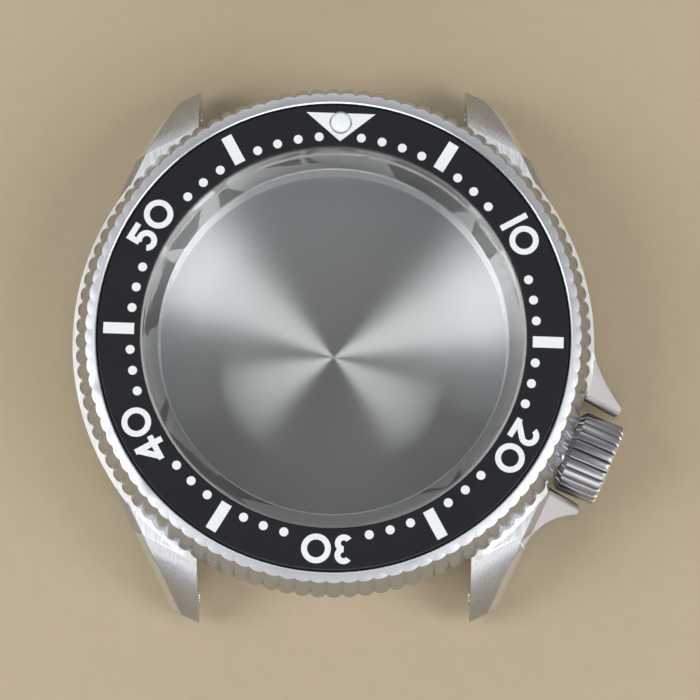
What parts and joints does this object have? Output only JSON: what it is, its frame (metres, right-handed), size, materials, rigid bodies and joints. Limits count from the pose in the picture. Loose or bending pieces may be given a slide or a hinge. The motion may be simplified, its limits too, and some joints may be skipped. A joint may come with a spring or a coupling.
{
  "type": "empty watch case",
  "caption": "Steel diver's watch case without movement or dial: turning bezel with a black minute scale, flat crystal, screw-down crown and screw back.",
  "frame": {"origin": "centre of the outer face of the case back", "axes": "+X to three o'clock, +Y to twelve o'clock, +Z out through the crystal"},
  "size_m": [0.0448, 0.0444, 0.0129],
  "materials": {
    "case_steel": "brushed lug tops, polished sides",
    "bezel_steel": "satin top, polished lobes",
    "back_steel": "fine turned",
    "crystal_glass": "clear polished",
    "white_nylon": "matt",
    "tape": "matt",
    "black_insert": "glossy black",
    "white_paint": "matt paint",
    "cup_steel": "satin",
    "luminous": "luminous fill under clear lacquer",
    "ring_plastic": "matt",
    "polished_steel": "polished",
    "spring_steel": "bright wire",
    "tube_steel": "turned",
    "crown_steel": "polished",
    "black_rubber": "matt"
  },
  "bodies": {
    "case": {"mid_case": "case_steel", "crystal": "crystal_glass", "crystal_gasket": "white_nylon", "crown_tube": "tube_steel", "retaining_ring": "ring_plastic", "click_spring": "spring_steel"},
    "bezel": {"bezel": "bezel_steel", "insert_tape": "tape", "bezel_insert": "black_insert", "scale_marks": "white_paint", "pip_cup": "cup_steel", "lume_pip": "luminous"},
    "click_ball": {"click_ball": "polished_steel"},
    "crown_post": {"crown_post": "polished_steel"},
    "crown_carriage": {"crown_washer": "polished_steel", "crown_spring": "spring_steel"},
    "crown": {"crown_cap": "crown_steel", "crown_retainer": "polished_steel", "crown_gasket": "black_rubber"},
    "back_seal": {"case_back_gasket": "black_rubber"},
    "case_back": {"case_back": "back_steel"}
  },
  "joints": [
    {"name": "bezel_turn", "type": "hinge", "parent": "case", "child": "bezel", "pos_m": [0, 0, 0.0112], "axis": [0, 0, 1], "continuous": true},
    {"name": "click_press", "type": "slide", "parent": "case", "child": "click_ball", "axis": [0, 0, -1], "range_m": [0, 0.0003], "stiffness_N_per_m": 300, "deforming": ["click_spring"]},
    {"name": "crown_pull", "type": "slide", "parent": "case", "child": "crown_post", "axis": [0.9171, -0.3987, 0], "range_m": [0, 0.0009]},
    {"name": "crown_rise", "type": "slide", "parent": "crown_post", "child": "crown_carriage", "axis": [0.9171, -0.3987, 0], "range_m": [0, 0.00175]},
    {"name": "crown_turn", "type": "hinge", "parent": "crown_carriage", "child": "crown", "pos_m": [0, 0, 0.0055], "axis": [0.9171, -0.3987, 0], "range_deg": [0, 1260]},
    {"name": "case_back_lift", "type": "slide", "parent": "case", "child": "back_seal", "axis": [0, 0, -1], "range_m": [0, 0.015]},
    {"name": "case_back_turn", "type": "hinge", "parent": "back_seal", "child": "case_back", "pos_m": [0, 0, 0], "axis": [0, 0, -1], "range_deg": [0, 1440]}
  ],
  "couplings": [
    {"joint": "crown_turn", "follows": "crown_rise", "rad_per_m": 12566}
  ]
}
